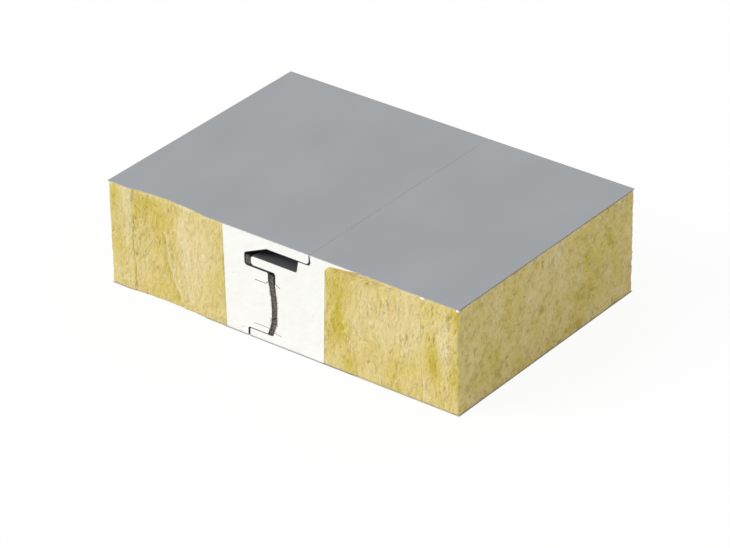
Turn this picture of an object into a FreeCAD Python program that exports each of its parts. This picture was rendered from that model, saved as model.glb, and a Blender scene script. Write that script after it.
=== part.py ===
import FreeCAD, Part
import math
import os
from FreeCAD import Vector

# Joint sample of a concealed-fix insulated sandwich panel: two saw-cut panel ends,
# plugged together. The groove panel is on the -X side and the tongue panel on the +X
# side. Each has an outer and an inner steel facing, a core of mineral wool strips with
# upright fibres, and a rigid foam strip along its joint edge. The facings are
# roll-formed round the foam: the groove panel's outer facing makes a lip over a groove,
# the tongue panel's makes a rebate and a tongue, and between lip and tongue a channel
# stays free for the heads of the fixing screws. One soft seal lies in the groove's end,
# and another fills the gap between the two foam edges.
#
# +Z is the outer face's normal and Y runs along the joint. The origin is the centre of
# the sample's underside. Sections are drawn in (u, z): u is the distance from the joint
# line that shows on the outer face, positive towards the tongue panel. Millimetres.

# ---- driving dimensions -------------------------------------------------------------
PANEL_THICKNESS = 100.0
SAMPLE_LENGTH = 250.0
GROOVE_SIDE = 217.0      # joint line to the groove panel's cut end
TONGUE_SIDE = 152.0      # joint line to the tongue panel's cut end
OUTER_GAUGE = 0.6        # steel thickness of the outer facings
INNER_GAUGE = 0.5        # steel thickness of the inner facings

# Core
FOAM_WIDTH = 50.0        # foam strip, from the fullest point of its edge to the wool
STRIP_WIDTH = 100.0      # one strip of mineral wool
MIN_STRIP = 5.0          # a narrower offcut is left on the strip beside it
WOOL_SET_BACK = 0.8      # wool behind the cut edges of the facings
GROOVE_WOOL_LEAN = 1.5   # wool boundary at the foam, foot against top
TONGUE_WOOL_LEAN = 3.0
WORN_DEPTH = 3.4         # the tongue panel's wool falls short of its facing at the foam,
WORN_CORNER = 5.0        # where its corner is worn, and the foam has run over it
WORN_REACH = 30.0        # from the corner to where the wool meets the facing

# Front saw cut of the groove panel: it bows in, where the saw ran off its line
CUT_BOW = 3.5            # deepest point of the bow
CUT_BOW_START = 20.0     # groove panel's cut end to the bow
CUT_BOW_LENGTH = 86.0

# Outer side of the joint: the lip over the rebate, and the screw channel under the lip
JOINT_GAP = 0.12         # reveal between the two outer facings at the face
GAP_LEAN = 1.0           # the rebate's wall moves away from the lip by this, to its foot
FACE_RADIUS = 0.75       # bends at the outer and the inner face
LIP_DEPTH = 10.0         # outer face to the lip's underside
LIP_RADIUS = 4.0         # the lip's lower corner
REBATE_RADIUS = 3.0      # the rebate's corner below it, tighter than the lip's
REBATE_WIDTH = 12.0      # joint line to the rebate's end
CHANNEL_DEPTH = 11.0     # lip's underside to the tongue's upper face
CHANNEL_WALL_LEAN = 2.0  # the rebate's wall, top against foot
CHANNEL_ROOF = 45.0      # joint line to where the channel's roof slopes down
ROOF_DROP = 10.5         # fall of the sloping roof, to the groove's end

# Tongue and groove
TONGUE_REACH = 62.5      # joint line to the tongue's nose
TONGUE_THICKNESS = 9.5
NOSE_RADIUS = 3.5
GROOVE_END_GAP = 6.0     # nose to the groove's end wall
TONGUE_CLEARANCE = 1.0   # tongue's lower face to the groove's floor
GROOVE_END_RADIUS = 2.5
BEND_RADIUS = 1.8        # the other roll-formed bends

# Edges under the tongue: hems of the outer facings, bulged foam edges, slanted feet
EDGE_REACH = 43.7        # joint line to the groove panel's hem
HEM_GAP = 6.8            # groove panel's hem to the tongue panel's
HEM_DEPTH = 9.0          # straight hem under the groove's floor
LEG_DROP = 2.6           # hem's end to its turned-in leg
GROOVE_LEG = 15.0        # turned-in leg of the groove panel's outer facing
TONGUE_LEG = 5.0         # turned-in leg of the tongue panel's outer facing
EDGE_BULGE = 2.8         # fullest point of the groove panel's foam edge, beyond its hem
FOOT_BULGE = 2.2         # the same edge at the top of its foot, beyond its hem
FOOT_HEIGHT = 12.5       # slanted foot of the edges, above the step
SEAL_WIDTH = 5.4         # gap between the two foam edges
SEAL_FOOT_WIDTH = 4.6    # the same gap at the foot

# Inner side of the joint: the tongue panel's lower lip under the groove panel's step
STEP_HEIGHT = 8.3        # inner face to where lower lip and step touch
STEP_FOOT = 45.4         # joint line to the groove panel's inner hem
LOWER_LIP_REACH = 65.4   # joint line to the lower lip's end
INNER_GAP = 1.2          # reveal between the two inner facings
INNER_HEM = 6.5          # groove panel's inner hem, above the step
INNER_LEG = 17.0         # its turned-in leg
LOWER_HEM = 4.0          # tongue panel's inner hem, above the step
LOWER_LEG = 8.0          # its turned-in leg
LOWER_LEG_FALL = 1.5     # fall of that leg

# Seals
SEAL_SET_BACK = 0.4      # seals behind the cut ends
EDGE_SEAL_TOP_GAP = 1.8  # groove's floor to the edge seal's top
EDGE_SEAL_FOOT_GAP = 0.8  # step to the edge seal's foot
GROOVE_SEAL_GAP = 1.0    # groove seal to the groove's floor, and to the tongue's upper face
GROOVE_SEAL_RADIUS = 2.0

# ---- levels and stations worked out from them ---------------------------------------
JOINT_X = (GROOVE_SIDE - TONGUE_SIDE) / 2
CORE_TOP = PANEL_THICKNESS - OUTER_GAUGE
LIP_Z = PANEL_THICKNESS - LIP_DEPTH
ROOF_FOOT = LIP_Z - ROOF_DROP
TONGUE_TOP = LIP_Z - CHANNEL_DEPTH
TONGUE_BOTTOM = TONGUE_TOP - TONGUE_THICKNESS
GROOVE_FLOOR = TONGUE_BOTTOM - TONGUE_CLEARANCE
HEM_END = GROOVE_FLOOR - HEM_DEPTH
FOOT_TOP = STEP_HEIGHT + FOOT_HEIGHT
GROOVE_END = -TONGUE_REACH - GROOVE_END_GAP
GROOVE_HEM = -EDGE_REACH
TONGUE_HEM = GROOVE_HEM + HEM_GAP
GROOVE_FULLEST = GROOVE_HEM + EDGE_BULGE
TONGUE_FULLEST = GROOVE_FULLEST + SEAL_WIDTH
GROOVE_WOOL = GROOVE_FULLEST - FOAM_WIDTH
TONGUE_WOOL = TONGUE_FULLEST + FOAM_WIDTH
GROOVE_STEP = (-STEP_FOOT, STEP_HEIGHT)
TONGUE_STEP = (SEAL_FOOT_WIDTH - STEP_FOOT, STEP_HEIGHT)
GROOVE_FOOT = (GROOVE_HEM + FOOT_BULGE, FOOT_TOP)
TONGUE_FOOT = (GROOVE_HEM + FOOT_BULGE + SEAL_WIDTH, FOOT_TOP)


# ---- drawing helpers ----------------------------------------------------------------
def at(point):
    """A section point (u, z), on the sample's front cut."""
    return Vector(JOINT_X + point[0], -SAMPLE_LENGTH / 2, point[1])


def between(start, end, height):
    """The point of the line from start to end that lies at a height above start."""
    share = height / (end[1] - start[1])
    return start[0] + (end[0] - start[0]) * share, start[1] + height


def line(start, end):
    return Part.LineSegment(at(start), at(end)).toShape()


def lines(points):
    return [line(start, end) for start, end in zip(points, points[1:])]


def bent_path(corners):
    """Edges along corners (u, z, bend radius): straight runs joined by tangent arcs."""
    edges = []
    last = at(corners[0])
    for before, corner, after in zip(corners, corners[1:], corners[2:]):
        point = at(corner)
        back = (at(before) - point).normalize()
        ahead = (at(after) - point).normalize()
        half_angle = back.getAngle(ahead) / 2
        radius = corner[2]
        start = point + back * (radius / math.tan(half_angle))
        end = point + ahead * (radius / math.tan(half_angle))
        crown = point + (back + ahead).normalize() * (radius / math.sin(half_angle) - radius)
        edges.append(Part.LineSegment(last, start).toShape())
        edges.append(Part.Arc(start, crown, end).toShape())
        last = end
    edges.append(Part.LineSegment(last, at(corners[-1])).toShape())
    return edges


def offset_corners(corners, distance):
    """The corners moved to the left of their path, with the bends kept concentric."""
    moved = []
    for i, (u, z, radius) in enumerate(corners):
        before = corners[max(i - 1, 0)]
        after = corners[min(i + 1, len(corners) - 1)]
        into = Vector(u - before[0], z - before[1], 0)
        out = Vector(after[0] - u, after[1] - z, 0)
        into = (into if into.Length else out).normalize()
        out = (out if out.Length else into).normalize()
        mitre = distance / (1 + into.dot(out))
        turn = math.copysign(1, into.cross(out).z)
        moved.append((u - (into.y + out.y) * mitre, z + (into.x + out.x) * mitre,
                      radius - turn * distance))
    return moved


def prism(edges, set_back=0.0):
    """A closed section drawn out along Y, its ends set back from the saw cuts."""
    face = Part.Face(Part.Wire(Part.__sortEdges__(edges)))
    face.translate(Vector(0, set_back, 0))
    return face.extrude(Vector(0, SAMPLE_LENGTH - 2 * set_back, 0))


def saw_bow(set_back=0.0):
    """What the saw took beyond its straight line, at the groove panel's front cut."""
    start = at((CUT_BOW_START - GROOVE_SIDE, 0)) + Vector(0, set_back, 0)
    end = start + Vector(CUT_BOW_LENGTH, 0, 0)
    deepest = (start + end) / 2 + Vector(0, CUT_BOW, 0)
    clear = Vector(0, -CUT_BOW, 0)
    edges = [Part.Arc(start, deepest, end).toShape()]
    for first, second in ((end, end + clear), (end + clear, start + clear), (start + clear, start)):
        edges.append(Part.LineSegment(first, second).toShape())
    return Part.Face(Part.Wire(edges)).extrude(Vector(0, 0, PANEL_THICKNESS))


def bent_sheet(corners, offset):
    """A steel sheet along its visible face; the steel lies on the left if offset > 0."""
    hidden = offset_corners(corners, offset)
    edges = bent_path(corners) + bent_path(hidden)
    edges += [line(corners[0], hidden[0]), line(corners[-1], hidden[-1])]
    return prism(edges)


def with_leg(corners, leg):
    """A facing's path with its last point bent over into a leg inside the foam."""
    u, z, _ = corners[-1]
    return corners[:-1] + [(u, z, BEND_RADIUS)] + leg


# ---- groove panel -------------------------------------------------------------------
def groove_outer_face(start_u):
    """Flat face, lip, roof of the channel, groove and hem."""
    lip_end = -JOINT_GAP / 2
    return [(start_u, PANEL_THICKNESS, 0),
            (lip_end, PANEL_THICKNESS, FACE_RADIUS),
            (lip_end, LIP_Z, LIP_RADIUS),
            (-CHANNEL_ROOF, LIP_Z, BEND_RADIUS),
            (GROOVE_END, ROOF_FOOT, GROOVE_END_RADIUS),
            (GROOVE_END, GROOVE_FLOOR, GROOVE_END_RADIUS),
            (GROOVE_HEM, GROOVE_FLOOR, BEND_RADIUS),
            (GROOVE_HEM, HEM_END, 0)]


def groove_inner_face(start_u, hem_end):
    """Flat face, step over the lower lip, and hem along the edge's slanted foot."""
    step_wall = -LOWER_LIP_REACH - INNER_GAP
    return [(start_u, 0, 0),
            (step_wall, 0, FACE_RADIUS),
            (step_wall, STEP_HEIGHT, BEND_RADIUS),
            (*GROOVE_STEP, BEND_RADIUS),
            (*hem_end, 0)]


def groove_outer_facing():
    leg_z = HEM_END - LEG_DROP
    leg = [(GROOVE_HEM - LEG_DROP, leg_z, BEND_RADIUS), (GROOVE_HEM - GROOVE_LEG, leg_z, 0)]
    return bent_sheet(with_leg(groove_outer_face(-GROOVE_SIDE), leg), -OUTER_GAUGE).cut(saw_bow())


def groove_inner_facing():
    hem_end = between(GROOVE_STEP, GROOVE_FOOT, INNER_HEM)
    leg = [(hem_end[0] - INNER_LEG, hem_end[1], 0)]
    facing = bent_sheet(with_leg(groove_inner_face(-GROOVE_SIDE, hem_end), leg), INNER_GAUGE)
    return facing.cut(saw_bow())


def groove_wool_edge():
    """The wool's boundary at the foam, from its foot up."""
    half_lean = GROOVE_WOOL_LEAN / 2
    return [(GROOVE_WOOL + half_lean, INNER_GAUGE), (GROOVE_WOOL - half_lean, CORE_TOP)]


def groove_foam_edge(facings):
    wool_edge = groove_wool_edge()
    outer = groove_outer_face(wool_edge[-1][0])
    inner = groove_inner_face(wool_edge[0][0], GROOVE_FOOT)
    fullest = (GROOVE_FULLEST, (HEM_END + FOOT_TOP) / 2)
    bulge = Part.Arc(at(outer[-1]), at(fullest), at(GROOVE_FOOT)).toShape()
    boundary = lines([inner[0], *wool_edge, outer[0]])
    return prism(bent_path(outer) + [bulge] + bent_path(inner) + boundary).cut(facings)


# ---- tongue panel -------------------------------------------------------------------
def tongue_outer_face(start_u):
    """Flat face, rebate round the lip, channel wall, tongue and hem."""
    rebate_wall = JOINT_GAP / 2
    return [(start_u, PANEL_THICKNESS, 0),
            (rebate_wall, PANEL_THICKNESS, FACE_RADIUS),
            (rebate_wall + GAP_LEAN, LIP_Z, REBATE_RADIUS),
            (-REBATE_WIDTH, LIP_Z, BEND_RADIUS),
            (-REBATE_WIDTH - CHANNEL_WALL_LEAN, TONGUE_TOP, BEND_RADIUS),
            (-TONGUE_REACH, TONGUE_TOP, NOSE_RADIUS),
            (-TONGUE_REACH, TONGUE_BOTTOM, NOSE_RADIUS),
            (TONGUE_HEM, TONGUE_BOTTOM, BEND_RADIUS),
            (TONGUE_HEM, HEM_END, 0)]


def tongue_inner_face(start_u, hem_end):
    """Flat face, lower lip, and hem along the edge's slanted foot."""
    return [(start_u, 0, 0),
            (-LOWER_LIP_REACH, 0, FACE_RADIUS),
            (-LOWER_LIP_REACH, STEP_HEIGHT, BEND_RADIUS),
            (*TONGUE_STEP, BEND_RADIUS),
            (*hem_end, 0)]


def tongue_outer_facing():
    leg = [(TONGUE_HEM + TONGUE_LEG, HEM_END - LEG_DROP, 0)]
    return bent_sheet(with_leg(tongue_outer_face(TONGUE_SIDE), leg), OUTER_GAUGE)


def tongue_inner_facing():
    hem_end = between(TONGUE_STEP, TONGUE_FOOT, LOWER_HEM)
    leg = [(hem_end[0] + LOWER_LEG, hem_end[1] - LOWER_LEG_FALL, 0)]
    return bent_sheet(with_leg(tongue_inner_face(TONGUE_SIDE, hem_end), leg), -INNER_GAUGE)


def tongue_wool_edge():
    """The wool's boundary at the foam, from its foot up and over its worn top."""
    foot = TONGUE_WOOL - TONGUE_WOOL_LEAN / 2
    top = TONGUE_WOOL + TONGUE_WOOL_LEAN / 2
    worn_z = CORE_TOP - WORN_DEPTH
    return [(foot, INNER_GAUGE), (top, worn_z - WORN_CORNER), (top + WORN_CORNER, worn_z),
            (top + WORN_REACH, CORE_TOP)]


def tongue_foam_edge(facings):
    wool_edge = tongue_wool_edge()
    outer = tongue_outer_face(wool_edge[-1][0])
    inner = tongue_inner_face(wool_edge[0][0], TONGUE_FOOT)
    fullest = (TONGUE_FULLEST, (HEM_END + FOOT_TOP) / 2)
    bulge = Part.Arc(at(outer[-1]), at(fullest), at(TONGUE_FOOT)).toShape()
    boundary = lines([inner[0], *wool_edge, outer[0]])
    return prism(bent_path(outer) + [bulge] + bent_path(inner) + boundary).cut(facings)


# ---- wool strips --------------------------------------------------------------------
def wool_strips(wool_edge, start_u, cut_end):
    """Strips side by side from the foam to the saw cut; the first fits the foam's edge."""
    direction = math.copysign(1, cut_end - start_u)
    last_u = cut_end - direction * WOOL_SET_BACK
    strips = []
    near_side = wool_edge
    while near_side:
        far_u = start_u + direction * STRIP_WIDTH * (len(strips) + 1)
        if (last_u - far_u) * direction < MIN_STRIP:
            far_u = last_u
        far_side = [(far_u, INNER_GAUGE), (far_u, CORE_TOP)]
        outline = [*near_side, *reversed(far_side), near_side[0]]
        strips.append(prism(lines(outline), WOOL_SET_BACK))
        near_side = far_side if far_u != last_u else None
    return strips


# ---- seals --------------------------------------------------------------------------
def edge_seal(panels):
    """Fills the gap between the foam edges; drawn over both and cut back to them."""
    top = GROOVE_FLOOR - EDGE_SEAL_TOP_GAP
    foot = STEP_HEIGHT + EDGE_SEAL_FOOT_GAP
    seal_side = GROOVE_HEM + SEAL_WIDTH
    outline = [(GROOVE_HEM, top), (seal_side, top), (seal_side, HEM_END),
               (TONGUE_FOOT[0] + SEAL_WIDTH, FOOT_TOP), (TONGUE_STEP[0] + SEAL_WIDTH, foot),
               (GROOVE_STEP[0] - BEND_RADIUS, foot), (GROOVE_HEM - BEND_RADIUS, HEM_END),
               (GROOVE_HEM, HEM_END), (GROOVE_HEM, top)]
    return prism(lines(outline), SEAL_SET_BACK).cut(panels)


def groove_seal():
    """Bead between the groove's end wall and the tongue's nose."""
    foot = GROOVE_FLOOR + GROOVE_SEAL_GAP
    top = TONGUE_TOP - GROOVE_SEAL_GAP
    middle = (GROOVE_END - TONGUE_REACH) / 2
    start = (middle, foot, 0)
    return prism(bent_path([start,
                            (-TONGUE_REACH, foot, GROOVE_SEAL_RADIUS),
                            (-TONGUE_REACH, top, GROOVE_SEAL_RADIUS),
                            (GROOVE_END, top, GROOVE_SEAL_RADIUS),
                            (GROOVE_END, foot, GROOVE_SEAL_RADIUS),
                            start]), SEAL_SET_BACK)


# ---- the sample ---------------------------------------------------------------------
def build():
    nodes = {}
    nodes["groove_panel_outer_facing"] = groove_outer_facing()
    nodes["groove_panel_inner_facing"] = groove_inner_facing()
    nodes["groove_panel_foam_edge"] = groove_foam_edge(list(nodes.values()))
    tongue_facings = [tongue_outer_facing(), tongue_inner_facing()]
    nodes["tongue_panel_outer_facing"], nodes["tongue_panel_inner_facing"] = tongue_facings
    nodes["tongue_panel_foam_edge"] = tongue_foam_edge(tongue_facings)
    nodes["edge_seal"] = edge_seal(list(nodes.values()))
    nodes["groove_seal"] = groove_seal()
    for number, strip in enumerate(wool_strips(groove_wool_edge(), GROOVE_WOOL, -GROOVE_SIDE), 1):
        nodes[f"groove_panel_wool_strip_{number}"] = strip.cut(saw_bow(WOOL_SET_BACK))
    for number, strip in enumerate(wool_strips(tongue_wool_edge(), TONGUE_WOOL, TONGUE_SIDE), 1):
        nodes[f"tongue_panel_wool_strip_{number}"] = strip
    return nodes


os.makedirs("parts", exist_ok=True)
for name, shape in build().items():
    shape.exportStep(os.path.join("parts", name + ".step"))
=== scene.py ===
import math
from collections import namedtuple
from itertools import product

import bmesh
import bpy
import numpy as np
from mathutils import Matrix, Vector, geometry


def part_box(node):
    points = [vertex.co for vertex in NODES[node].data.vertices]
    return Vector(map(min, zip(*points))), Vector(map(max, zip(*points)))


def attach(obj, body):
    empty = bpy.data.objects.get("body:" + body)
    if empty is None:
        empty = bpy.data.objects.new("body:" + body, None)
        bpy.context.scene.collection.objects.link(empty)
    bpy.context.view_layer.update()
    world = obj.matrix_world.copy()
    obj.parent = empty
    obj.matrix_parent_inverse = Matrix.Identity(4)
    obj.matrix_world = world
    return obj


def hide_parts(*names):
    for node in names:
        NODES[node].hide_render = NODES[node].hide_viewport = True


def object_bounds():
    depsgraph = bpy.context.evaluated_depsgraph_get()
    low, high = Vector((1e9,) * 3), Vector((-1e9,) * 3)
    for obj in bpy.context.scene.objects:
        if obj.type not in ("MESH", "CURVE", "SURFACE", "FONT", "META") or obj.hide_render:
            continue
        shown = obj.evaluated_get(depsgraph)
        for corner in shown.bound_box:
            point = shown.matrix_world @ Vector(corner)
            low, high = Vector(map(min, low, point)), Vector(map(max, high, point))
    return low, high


# Looks of a saw-cut joint sample of an insulated sandwich panel. The steel facings stay as
# the frame has them and get coil-coat paint with bare cut edges. The mineral wool, the
# rigid foam and the seals are replaced by meshes with real relief on their saw cuts.
# Shapes are worked out in millimetres, and MM turns them into Blender's metres. Materials,
# lights and the camera are in metres.

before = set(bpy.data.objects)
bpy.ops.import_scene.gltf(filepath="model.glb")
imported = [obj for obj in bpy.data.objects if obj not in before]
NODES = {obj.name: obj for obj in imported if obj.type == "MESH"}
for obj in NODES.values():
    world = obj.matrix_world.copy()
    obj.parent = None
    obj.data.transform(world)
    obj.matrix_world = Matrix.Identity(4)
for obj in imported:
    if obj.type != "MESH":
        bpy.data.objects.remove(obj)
cad_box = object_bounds()
MM = 0.001
PANELS = ("groove_panel", "tongue_panel")
LOW = np.array(cad_box[0]) / MM
HIGH = np.array(cad_box[1]) / MM

# ---- colours, as they look in plain light (sRGB, 0 to 255) ----------------------------
PAINT = (160, 163, 167)
# painted highlight: a lighter paint on the outer facings' rounded bends at the joint lightens the joint
# line
BEND_HIGHLIGHT = (182, 185, 189)
INNER_PAINT = (196, 198, 196)
# partly painted shade: this dark coat on the channel and the joint's hidden faces stands for their shade,
# over a darker primer
PRIMER_AND_SHADE_COAT = (94, 96, 99)
# partly painted shade: bare cut steel, painted darker to stand for the shade along the sheets' edges
CUT_STEEL_AND_SHADE = (84, 83, 81)
DUSTED_STEEL = (214, 207, 180)
SMEARED_STEEL = (206, 207, 205)
FOAM = (254, 254, 250)
FOAM_SHADE = (245, 243, 236)
WOOL_PALE = (238, 222, 170)
WOOL_MID = (230, 211, 137)
WOOL_YELLOW = (219, 201, 102)
WOOL_DEEP = (207, 188, 72)
# brown of the wool's specks and pits, also used as painted shade in hollows, furrows and creases
WOOL_PIT_AND_SHADE = (148, 118, 48)
SEAL_DARK = (58, 54, 50)
SEAL_LIGHT = (132, 126, 117)
# painted shade along the seals' edges beside the foam
SEAL_RIM_SHADE = (44, 41, 38)
FLOOR = (255, 255, 255)
FLOOR_BOUNCE = (217, 217, 217)


def linear(colour):
    """An sRGB colour, 0 to 255, as Blender's linear RGBA."""
    channels = [c / 255 for c in colour]
    return [c / 12.92 if c <= 0.04045 else ((c + 0.055) / 1.055) ** 2.4 for c in channels] + [1.0]


def toned(colour, share):
    """A colour made darker or lighter by a share."""
    return [min(c * share, 255) for c in colour]


# ---- noise ----------------------------------------------------------------------------
AXIS_STEPS = np.array([374761393, 668265263, 1274126177])  # large odd numbers scatter cells
SEED_STEP = 974634777
MIXERS = ((13, 1103515245), (15, 747796405))
WORD, HALF_WORD = 0xFFFFFFFF, 0xFFFF


def lattice(cells, seed):
    """A repeatable random value, 0 to 1, for each cell of whole numbers (N, 3)."""
    h = (cells @ AXIS_STEPS + seed * SEED_STEP) & WORD
    for shift, factor in MIXERS:
        h = ((h ^ (h >> shift)) * factor) & WORD
    return ((h ^ (h >> 16)) & HALF_WORD) / HALF_WORD


def noise(points, seed):
    """Smooth noise, -1 to 1, with one cell to a unit."""
    base = np.floor(points).astype(np.int64)
    share = points - base
    share = share * share * (3 - 2 * share)
    total = np.zeros(len(points))
    for corner in product((0, 1), repeat=3):
        weight = np.prod(np.where(corner, share, 1 - share), axis=1)
        total += weight * lattice(base + np.array(corner), seed)
    return total * 2 - 1


def layered_noise(points, seed, layers):
    """Noise with finer layers added, each half as strong as the one before."""
    return sum(noise(points * 2 ** i, seed + i) / 2 ** i for i in range(layers))


def smooth_step(x):
    x = np.clip(x, 0, 1)
    return x * x * (3 - 2 * x)


def rise(value, start, full):
    """0 up to start, 1 from full on, and smooth between them."""
    return smooth_step((value - start) / (full - start))


def mound(distance_squared):
    """A bell: 1 in the middle, with its foot about two units away."""
    return np.exp(-distance_squared)


# ---- materials: patterns in repeats to the metre, bump distances in metres -------------
NOISE_SPAN = (0.3, 0.7)   # where Blender's noise mostly lies


def new_material(name, roughness, **constants):
    """A material with nodes, with its node tree and its Principled shader."""
    material = bpy.data.materials.new(name)
    material.use_nodes = True
    shader = material.node_tree.nodes["Principled BSDF"]
    shader.inputs["Roughness"].default_value = roughness
    for socket, value in constants.items():
        shader.inputs[socket.replace("_", " ")].default_value = value
    return material, material.node_tree, shader


def place(tree, repeats, location=(0, 0, 0), rotation=(0, 0, 0)):
    """Object coordinates, scaled by one number or by three."""
    coordinates = tree.nodes.new("ShaderNodeTexCoord")
    mapping = tree.nodes.new("ShaderNodeMapping")
    mapping.inputs["Scale"].default_value = repeats if isinstance(repeats, tuple) else (repeats,) * 3
    mapping.inputs["Location"].default_value = location
    mapping.inputs["Rotation"].default_value = rotation
    tree.links.new(coordinates.outputs["Object"], mapping.inputs["Vector"])
    return mapping.outputs["Vector"]


def noise_node(tree, vector, detail=3.0, distortion=0.0):
    node = tree.nodes.new("ShaderNodeTexNoise")
    node.inputs["Scale"].default_value = 1.0
    node.inputs["Detail"].default_value = detail
    node.inputs["Distortion"].default_value = distortion
    tree.links.new(vector, node.inputs["Vector"])
    return node.outputs["Fac"]


def ramp(tree, value, stops):
    """A colour ramp; stops are (position, sRGB colour)."""
    node = tree.nodes.new("ShaderNodeValToRGB")
    elements = node.color_ramp.elements
    for position, _ in stops[2:]:
        elements.new(position)
    for element, (position, colour) in zip(elements, stops):
        element.position = position
        element.color = linear(colour)
    tree.links.new(value, node.inputs["Fac"])
    return node.outputs["Color"]


def limits(tree, value, low, high, to_low=0.0, to_high=1.0):
    """Maps a value from low..high to to_low..to_high, and clamps it."""
    node = tree.nodes.new("ShaderNodeMapRange")
    for socket, number in zip(("From Min", "From Max", "To Min", "To Max"),
                              (low, high, to_low, to_high)):
        node.inputs[socket].default_value = number
    tree.links.new(value, node.inputs["Value"])
    return node.outputs["Result"]


def feed(tree, sockets, values):
    """Sets each socket: a value is another node's socket or a constant."""
    for socket, value in zip(sockets, values):
        if isinstance(value, bpy.types.NodeSocket):
            tree.links.new(value, socket)
        else:
            socket.default_value = value


def blend_colour(tree, factor, first, second, mode="MIX"):
    """Mixes colours; each of the three is a socket or a constant."""
    node = tree.nodes.new("ShaderNodeMix")
    node.data_type = "RGBA"
    node.blend_type = mode
    feed(tree, (node.inputs[0], node.inputs[6], node.inputs[7]), (factor, first, second))
    return node.outputs[2]


def maths(tree, operation, first, second=0.0):
    node = tree.nodes.new("ShaderNodeMath")
    node.operation = operation
    feed(tree, node.inputs, (first, second))
    return node.outputs[0]


def attribute(tree, name):
    node = tree.nodes.new("ShaderNodeAttribute")
    node.attribute_name = name
    return node.outputs["Fac"]


def colour_by(tree, shader, colour):
    tree.links.new(colour, shader.inputs["Base Color"])


def bump(tree, shader, height, distance):
    node = tree.nodes.new("ShaderNodeBump")
    node.inputs["Distance"].default_value = distance
    node.inputs["Strength"].default_value = 1.0
    tree.links.new(height, node.inputs["Height"])
    tree.links.new(node.outputs["Normal"], shader.inputs["Normal"])


def paint_material(name, colour):
    """Coil-coated sheet: satin paint with a faint orange peel and slight clouding."""
    material, tree, shader = new_material(name, 0.6, Metallic=0.0, Specular_IOR_Level=0.3)
    clouds = noise_node(tree, place(tree, (14, 9, 14)), detail=2.0)
    shade = limits(tree, clouds, *NOISE_SPAN)
    darker, lighter = linear(toned(colour, 0.985)), linear(toned(colour, 1.012))
    colour_by(tree, shader, blend_colour(tree, shade, darker, lighter))
    grain = noise_node(tree, place(tree, 1400), detail=2.0)
    rough = limits(tree, grain, *NOISE_SPAN, to_low=0.52, to_high=0.66)
    tree.links.new(rough, shader.inputs["Roughness"])
    orange_peel = noise_node(tree, place(tree, 420), detail=1.0)
    bump(tree, shader, orange_peel, 0.00004)
    return material


FACE_ZONE_MM = 1.4        # depth of a facing's flat face, with its edge radii
FACE_CORE_MM = 0.8        # the part of that depth that is dusted all over
DUST_FADE = 0.002         # in metres: how softly the dust over the wool ends at the foam


def cut_steel_material(name, covered_share):
    """Saw-cut edge of galvanised sheet: bare at the joint, under dust and glue elsewhere; the bare steel
    is painted dark, partly as painted shade along the edge.
    """
    material, tree, shader = new_material(name, 0.5, Metallic=0.3)
    saw_marks = noise_node(tree, place(tree, (2600, 200, 900)))
    # the dark tone of the bare steel is partly painted shade along the edge
    bare = ramp(tree, saw_marks, [(0.25, toned(CUT_STEEL_AND_SHADE, 0.72)), (0.75, toned(CUT_STEEL_AND_SHADE, 1.12))])
    axes = tree.nodes.new("ShaderNodeSeparateXYZ")
    tree.links.new(place(tree, 1), axes.inputs[0])
    foam_start, foam_end = (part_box(f"{panel}_foam_edge")[k].x for k, panel in enumerate(PANELS))
    middle, reach = (foam_start + foam_end) / 2, (foam_end - foam_start) / 2
    from_middle = maths(tree, "ABSOLUTE", maths(tree, "SUBTRACT", axes.outputs[0], middle))
    over_wool = limits(tree, from_middle, reach - DUST_FADE, reach + DUST_FADE)
    at_face = limits(tree, axes.outputs[2], (HIGH[2] - FACE_ZONE_MM) * MM,
                     (HIGH[2] - FACE_CORE_MM) * MM)
    patches = noise_node(tree, place(tree, 150, location=(1, 2, 3)))
    patchy = limits(tree, patches, 0.3, 0.5, 0.5 * covered_share, covered_share)
    dust = maths(tree, "MULTIPLY", maths(tree, "MAXIMUM", over_wool, at_face), patchy)
    dust_colour = blend_colour(tree, over_wool, linear(SMEARED_STEEL), linear(DUSTED_STEEL))
    colour_by(tree, shader, blend_colour(tree, dust, bare, dust_colour))
    bump(tree, shader, saw_marks, 0.00006)
    return material


def foam_material():
    """Sawn rigid foam: warm white, with fine closed cells, grey beside the edge seal, and a grey line of
    painted shade along its foot.
    """
    material, tree, shader = new_material("rigid_foam", 0.85, Specular_IOR_Level=0.2)
    cells = tree.nodes.new("ShaderNodeTexVoronoi")
    cells.inputs["Scale"].default_value = 1.0
    tree.links.new(place(tree, 1900), cells.inputs["Vector"])
    clouds = noise_node(tree, place(tree, 60), detail=4.0)
    pores = maths(tree, "MULTIPLY", limits(tree, cells.outputs["Distance"], 0.25, 0.9),
                  limits(tree, clouds, 0.35, 0.75))
    pits_and_shade = maths(tree, "MAXIMUM", pores, attribute(tree, "shade"))
    clean = blend_colour(tree, pits_and_shade, linear(FOAM), linear(FOAM_SHADE))
    # grey beside the edge seal, and painted shade along the foam's foot
    colour_by(tree, shader, blend_colour(tree, attribute(tree, "grey_edging"), clean, linear(SEAL_LIGHT)))
    bump(tree, shader, cells.outputs["Distance"], 0.00012)
    return material


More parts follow.
